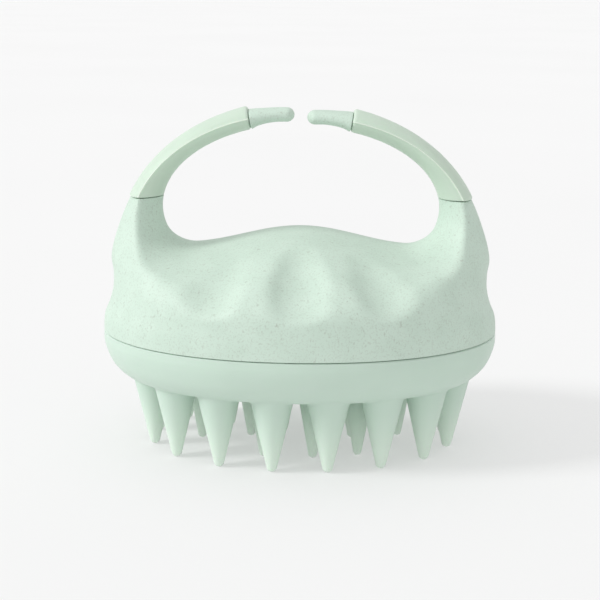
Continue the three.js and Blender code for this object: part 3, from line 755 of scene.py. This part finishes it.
PLATE_Z = 21.6
PLATE_THICKNESS = 3.0
PLATE_INSET = 2.7
SPIGOT_TOP_Z = 28.9
SPIGOT_INSET = 3.5
SPIGOT_WALL = 2.0
SCREW_AT = [(27, 11), (-27, 11), (-27, -11), (27, -11)]
SCREW_HOLE_RADIUS = 1.6
COUNTERBORE = {"radius": 2.9, "depth": 1.9}
PLATE_FOOT_CHAMFER = 0.5
PLATE_CHAMFER = 0.3


def build_plate():
    top = PLATE_Z + PLATE_THICKNESS
    rings = [
        oval_ring(PLATE_INSET + PLATE_FOOT_CHAMFER, PLATE_Z, PAD_SIDES),
        oval_ring(PLATE_INSET, PLATE_Z + PLATE_FOOT_CHAMFER, PAD_SIDES),
        oval_ring(PLATE_INSET, top - PLATE_CHAMFER, PAD_SIDES),
        oval_ring(PLATE_INSET + PLATE_CHAMFER, top, PAD_SIDES),
        oval_ring(SPIGOT_INSET, top, PAD_SIDES),
        oval_ring(SPIGOT_INSET, SPIGOT_TOP_Z - PLATE_CHAMFER, PAD_SIDES),
        oval_ring(SPIGOT_INSET + PLATE_CHAMFER, SPIGOT_TOP_Z, PAD_SIDES),
        oval_ring(SPIGOT_INSET + SPIGOT_WALL, SPIGOT_TOP_Z, PAD_SIDES),
        oval_ring(SPIGOT_INSET + SPIGOT_WALL, top, PAD_SIDES),
    ]
    plate = loft("base_plate_visual", rings)
    below = PLATE_Z - 1
    counterbore_top = PLATE_Z + COUNTERBORE["depth"]
    for x, y in SCREW_AT:
        subtract(plate, loft("hole", disc_rings(SCREW_HOLE_RADIUS, (below, top + 1), x, y)))
        counterbore = disc_rings(COUNTERBORE["radius"], (below, counterbore_top), x, y)
        subtract(plate, loft("counterbore", counterbore))
    return plate


# ---------------------------------------------------------------- materials

def new_material(name):
    material = bpy.data.materials.new(name)
    material.use_nodes = True
    tree = material.node_tree
    tree.nodes.clear()
    output = tree.nodes.new("ShaderNodeOutputMaterial")
    shader = tree.nodes.new("ShaderNodeBsdfPrincipled")
    tree.links.new(shader.outputs["BSDF"], output.inputs["Surface"])
    return material, tree, shader


def texture(tree, kind, scale, coordinates, **inputs):
    node = tree.nodes.new(kind)
    node.inputs["Scale"].default_value = scale
    for key, value in inputs.items():
        node.inputs[key].default_value = value
    tree.links.new(coordinates, node.inputs["Vector"])
    return node


def map_range(tree, value, low, high, out_low=0.0, out_high=1.0):
    node = tree.nodes.new("ShaderNodeMapRange")
    node.interpolation_type = "SMOOTHSTEP"
    for key, number in (("From Min", low), ("From Max", high), ("To Min", out_low), ("To Max", out_high)):
        node.inputs[key].default_value = number
    tree.links.new(value, node.inputs["Value"])
    return node.outputs["Result"]


def mix_colour(tree, factor, first, second):
    node = tree.nodes.new("ShaderNodeMix")
    node.data_type = "RGBA"
    tree.links.new(factor, node.inputs["Factor"])
    # Inputs 6 and 7 and output 2 are the ones for colours.
    for socket, colour in ((node.inputs[6], first), (node.inputs[7], second)):
        if isinstance(colour, tuple):
            socket.default_value = (*colour, 1)
        else:
            tree.links.new(colour, socket)
    return node.outputs[2]


def add(tree, first, second):
    node = tree.nodes.new("ShaderNodeMath")
    node.operation = "ADD"
    tree.links.new(first, node.inputs[0])
    tree.links.new(second, node.inputs[1])
    return node.outputs[0]


def bump(tree, shader, height, strength, distance):
    node = tree.nodes.new("ShaderNodeBump")
    node.inputs["Strength"].default_value = strength
    node.inputs["Distance"].default_value = distance
    tree.links.new(height, node.inputs["Height"])
    tree.links.new(node.outputs["Normal"], shader.inputs["Normal"])


def object_coordinates(tree):
    return tree.nodes.new("ShaderNodeTexCoord").outputs["Object"]


# Colours, as linear red, green and blue.
MINT = (0.585, 0.715, 0.620)
MINT_DEEP = (0.560, 0.690, 0.595)
# Silicone: pale, a little deeper in clouds, and painted paler towards the teeth's tips, a painted light
# that stands in for light shining through the thin silicone.
SILICONES = [(0.570, 0.705, 0.610), (0.555, 0.690, 0.595), (0.71, 0.82, 0.72)]
PAD_TINT = (1.0, 1.0, 1.0)
SLEEVE_TINT = (1.01, 0.985, 0.955)    # the sleeves are a slightly yellower green than the pad
PAINTED_TIP_LIGHT_TOP = 16.0                  # height at which the painted light at the tips starts, in millimetres
PAINTED_TIP_LIGHT = 0.9                       # share of the painted light colour at the very tip
RIDGE_HIGHLIGHT_COLOUR = (0.86, 0.93, 0.82)     # painted highlight along the sleeves' mould-line ridge
RIDGE_HIGHLIGHT_SHARE = 0.6
INNER_PLASTIC = (0.60, 0.74, 0.66)
INNER_PLASTIC_DEEP = (0.56, 0.70, 0.62)
STEEL = (0.62, 0.63, 0.65)
STEEL_DEEP = (0.50, 0.51, 0.53)
SPECK = (0.27, 0.24, 0.20)           # plant fibre seen through the plastic
HUSK = (0.20, 0.15, 0.12)            # the few darker bits of husk

# Layers of specks: noise scale, where its peaks start and end to count, strength, colour.
SPECK_LAYERS = [
    (2600, 0.50, 0.70, 0.15, SPECK),
    (1700, 0.60, 0.74, 0.13, SPECK),
    (1000, 0.66, 0.74, 0.19, HUSK),
]
# Fibres are the same with the noise drawn out along one direction, turned about X and Z.
FIBRE_LAYERS = [
    (2400, 0.68, 0.76, 0.22, HUSK, (40, 0, 25)),
    (2400, 0.69, 0.77, 0.22, HUSK, (-30, 0, 110)),
]
FIBRE_STRETCH = 0.22


def turned_and_stretched(tree, place, degrees):
    node = tree.nodes.new("ShaderNodeMapping")
    node.inputs["Rotation"].default_value = [math.radians(turn) for turn in degrees]
    node.inputs["Scale"].default_value = (1, 1, FIBRE_STRETCH)
    tree.links.new(place, node.inputs["Vector"])
    return node.outputs["Vector"]


def add_specks(tree, base, place, scale, start, full, strength, colour):
    """Lay one kind of speck over a colour: the peaks of a fine noise."""
    noise = texture(tree, "ShaderNodeTexNoise", scale, place, Detail=1.5)
    peaks = map_range(tree, noise.outputs["Fac"], start, full, 0.0, strength)
    return mix_colour(tree, peaks, base, colour)


def fibre_plastic():
    """Pale green plastic filled with plant fibre: fine dark specks, a few short fibres, a matt grain."""
    material, tree, shader = new_material("fibre_plastic")
    place = object_coordinates(tree)
    cloud = texture(tree, "ShaderNodeTexNoise", 160, place, Detail=3.0)
    base = mix_colour(tree, map_range(tree, cloud.outputs["Fac"], 0.35, 0.65), MINT, MINT_DEEP)
    for scale, start, full, strength, colour in SPECK_LAYERS:
        base = add_specks(tree, base, place, scale, start, full, strength, colour)
    for scale, start, full, strength, colour, degrees in FIBRE_LAYERS:
        along = turned_and_stretched(tree, place, degrees)
        base = add_specks(tree, base, along, scale, start, full, strength, colour)
    tree.links.new(base, shader.inputs["Base Color"])
    shader.inputs["Roughness"].default_value = 0.56
    shader.inputs["Specular IOR Level"].default_value = 0.42
    grain = texture(tree, "ShaderNodeTexNoise", 2600, place, Detail=2.0)
    bump(tree, shader, grain.outputs["Fac"], 0.35, 0.00006)
    return material


def silicone(name, tint):
    """Smooth satin silicone, a little translucent, with a very fine bloom."""
    material, tree, shader = new_material(name)
    pale, deep, painted_light_through = (tuple(c * t for c, t in zip(colour, tint)) for colour in SILICONES)
    place = object_coordinates(tree)
    cloud = texture(tree, "ShaderNodeTexNoise", 90, place, Detail=2.0)
    base = mix_colour(tree, map_range(tree, cloud.outputs["Fac"], 0.3, 0.7), pale, deep)
    split = tree.nodes.new("ShaderNodeSeparateXYZ")
    tree.links.new(place, split.inputs["Vector"])
    # Painted light: the colour turns paler towards the tips, as if light shone through the thin teeth.
    thin = map_range(tree, split.outputs["Z"], PAINTED_TIP_LIGHT_TOP * MM, 0.0, 0.0, PAINTED_TIP_LIGHT)
    base = mix_colour(tree, thin, base, painted_light_through)
    # A painted highlight along the sleeves' mould line. Only the sleeves have this attribute. It reads as 0
    # on the pad.
    line = tree.nodes.new("ShaderNodeAttribute")
    line.attribute_name = "mould_line"
    on_line = map_range(tree, line.outputs["Fac"], 0.0, 1.0, 0.0, RIDGE_HIGHLIGHT_SHARE)
    base = mix_colour(tree, on_line, base, RIDGE_HIGHLIGHT_COLOUR)
    tree.links.new(base, shader.inputs["Base Color"])
    bloom = texture(tree, "ShaderNodeTexNoise", 300, place, Detail=3.0)
    roughness = map_range(tree, bloom.outputs["Fac"], 0.3, 0.7, 0.4, 0.5)
    tree.links.new(roughness, shader.inputs["Roughness"])
    shader.inputs["Specular IOR Level"].default_value = 0.42
    shader.inputs["Subsurface Weight"].default_value = 0.3
    shader.inputs["Subsurface Radius"].default_value = (1.0, 1.2, 1.0)
    shader.inputs["Subsurface Scale"].default_value = 0.002
    grain = texture(tree, "ShaderNodeTexNoise", 1800, place, Detail=1.0)
    bump(tree, shader, grain.outputs["Fac"], 0.12, 0.00003)
    return material


def plain_plastic():
    """The inner parts: smooth plastic of nearly the shell's colour. They are hidden, so this is a guess."""
    material, tree, shader = new_material("plain_plastic")
    place = object_coordinates(tree)
    cloud = texture(tree, "ShaderNodeTexNoise", 120, place, Detail=4.0)
    shade = map_range(tree, cloud.outputs["Fac"], 0.35, 0.65)
    base = mix_colour(tree, shade, INNER_PLASTIC, INNER_PLASTIC_DEEP)
    tree.links.new(base, shader.inputs["Base Color"])
    shader.inputs["Roughness"].default_value = 0.42
    grain = texture(tree, "ShaderNodeTexNoise", 900, place, Detail=2.0)
    bump(tree, shader, grain.outputs["Fac"], 0.2, 0.00004)
    return material


def plated_steel():
    """The screws. They are hidden in the photo, so their material is a guess."""
    material, tree, shader = new_material("plated_steel")
    place = object_coordinates(tree)
    cloud = texture(tree, "ShaderNodeTexNoise", 700, place, Detail=4.0)
    base = mix_colour(tree, map_range(tree, cloud.outputs["Fac"], 0.35, 0.65), STEEL, STEEL_DEEP)
    tree.links.new(base, shader.inputs["Base Color"])
    roughness = map_range(tree, cloud.outputs["Fac"], 0.3, 0.7, 0.25, 0.42)
    tree.links.new(roughness, shader.inputs["Roughness"])
    shader.inputs["Metallic"].default_value = 1.0
    return material


FLOOR_GREY = 0.46
FLOOR_GREY_DEEP = 0.45
FLOOR_GLOW = 0.425                  # the floor gives light as well, so the shadows on it stay pale


def pale_floor():
    """Matt white that gives some light of its own."""
    material, tree, shader = new_material("pale_floor")
    place = object_coordinates(tree)
    cloud = texture(tree, "ShaderNodeTexNoise", 3, place, Detail=2.0)
    shade = map_range(tree, cloud.outputs["Fac"], 0.3, 0.7)
    base = mix_colour(tree, shade, (FLOOR_GREY,) * 3, (FLOOR_GREY_DEEP,) * 3)
    tree.links.new(base, shader.inputs["Base Color"])
    shader.inputs["Roughness"].default_value = 0.9
    shader.inputs["Specular IOR Level"].default_value = 0.1
    shader.inputs["Emission Color"].default_value = (1, 1, 1, 1)
    shader.inputs["Emission Strength"].default_value = FLOOR_GLOW
    return material


# ---------------------------------------------------------------- camera, light and floor

CAMERA_DISTANCE = 320.0
CAMERA_ELEVATION = 11.76
CAMERA_YAW = 0.6
CAMERA_ROLL = 0.53
CAMERA_PIVOT = Vector((0, 0, 40.0))      # the camera's distance and elevation are measured from here
CAMERA_AIM = Vector((0.0, 0, 33.3))      # and the middle of the picture is here
SENSOR_WIDTH = 36.0
FOCAL_LENGTH = 83.6


def add_camera():
    camera = bpy.data.cameras.new("camera")
    obj = bpy.data.objects.new("camera", camera)
    bpy.context.scene.collection.objects.link(obj)
    elevation, yaw = math.radians(CAMERA_ELEVATION), math.radians(CAMERA_YAW)
    flat = math.cos(elevation)
    back = Vector((flat * math.sin(yaw), -flat * math.cos(yaw), math.sin(elevation)))
    place = CAMERA_PIVOT + CAMERA_DISTANCE * back
    obj.location = place * MM
    obj.rotation_euler = (CAMERA_AIM - place).to_track_quat("-Z", "Y").to_euler()
    obj.rotation_euler.rotate_axis("Z", math.radians(CAMERA_ROLL))
    camera.sensor_width = SENSOR_WIDTH
    camera.lens = FOCAL_LENGTH
    camera.clip_start = 0.01
    camera.clip_end = 30
    bpy.context.scene.camera = obj


KEY_DIRECTION = Vector((0.80, 0.22, -0.56))     # the way the light travels, from the upper left front
KEY_STRENGTH = 1.53
KEY_ANGLE = 16.0
# Brightness of the sky, and where on a unit sphere one part of it turns into the next.
HORIZON_STRENGTH = 0.955
SKY_STRENGTH = 0.785
HORIZON_TO_SKY_Z = (0.02, 0.3)
ZENITH_EXTRA = 0.14
SKY_TO_ZENITH_Z = (0.4, 0.9)
FAR_SIDE_LOSS = 0.2                 # it is darker on the side that the light travels towards
NEAR_TO_FAR_X = (0.2, 0.9)
FLOOR_RADIUS = 12.0                 # metres
FLOOR_SIDES = 96


def add_key():
    light = bpy.data.lights.new("key", "SUN")
    light.energy = KEY_STRENGTH
    light.angle = math.radians(KEY_ANGLE)
    obj = bpy.data.objects.new("key", light)
    obj.rotation_euler = KEY_DIRECTION.to_track_quat("-Z", "Y").to_euler()
    bpy.context.scene.collection.objects.link(obj)


def add_floor():
    """A pale floor so wide that its edge lies at the horizon."""
    turn = 2 * math.pi * np.arange(FLOOR_SIDES) / FLOOR_SIDES
    rim = np.column_stack([np.cos(turn), np.sin(turn), 0 * turn]) * FLOOR_RADIUS / MM
    floor = new_object("floor", rim, [tuple(range(FLOOR_SIDES))])
    floor.data.materials.append(pale_floor())


def add_world():
    """A soft white sky: about as bright at the horizon as the floor, dimmer above and on the far side."""
    world = bpy.data.worlds.new("studio")
    world.use_nodes = True
    tree = world.node_tree
    background = tree.nodes["Background"]
    place = tree.nodes.new("ShaderNodeTexCoord")
    split = tree.nodes.new("ShaderNodeSeparateXYZ")
    tree.links.new(place.outputs["Generated"], split.inputs["Vector"])
    low = map_range(tree, split.outputs["Z"], *HORIZON_TO_SKY_Z, HORIZON_STRENGTH, SKY_STRENGTH)
    high = map_range(tree, split.outputs["Z"], *SKY_TO_ZENITH_Z, 0.0, ZENITH_EXTRA)
    far = map_range(tree, split.outputs["X"], *NEAR_TO_FAR_X, 0.0, -FAR_SIDE_LOSS)
    strength = add(tree, add(tree, low, high), far)
    tree.links.new(strength, background.inputs["Strength"])
    background.inputs["Color"].default_value = (1, 1, 1, 1)
    bpy.context.scene.world = world


# ---------------------------------------------------------------- assembly


def dress(obj, material, body, slot, *nodes):
    """Give a finished mesh its material, the nodes that it replaces and the body it rides on. The slot is
    not used.
    """
    shade(obj, material)
    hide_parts(*nodes)
    if body is not None:
        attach(obj, body)
    return obj


shell_material = fibre_plastic()
pad_silicone = silicone("pad_silicone", PAD_TINT)
sleeve_silicone = silicone("sleeve_silicone", SLEEVE_TINT)
plate_material = plain_plastic()
steel_material = plated_steel()

add_camera()
add_floor()
add_world()
add_key()
bpy.context.scene.view_settings.view_transform = "Standard"

dress(build_shell(), shell_material, "handle", "shell_plastic", "upper_shell")
dress(build_pad(), pad_silicone, "pad", "soft_silicone", "brush_pad")
dress(build_plate(), plate_material, "handle", "inner_plastic", "base_plate")

for side, word in ((1, "right"), (-1, "left")):
    dress(build_cap(side), shell_material, f"{word}_arm", "shell_plastic", f"{word}_tip_cap")
    sleeve = dress(build_sleeve(side), sleeve_silicone, None, "soft_silicone", f"{word}_grip_sleeve")
    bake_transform(sleeve)
    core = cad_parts[f"{word}_arm_core"]
    core.data.materials.clear()
    core.data.materials.append(plate_material)

for i in range(len(SCREW_AT)):
    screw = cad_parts[f"screw_{i + 1}"]
    screw.data.materials.clear()
    screw.data.materials.append(steel_material)
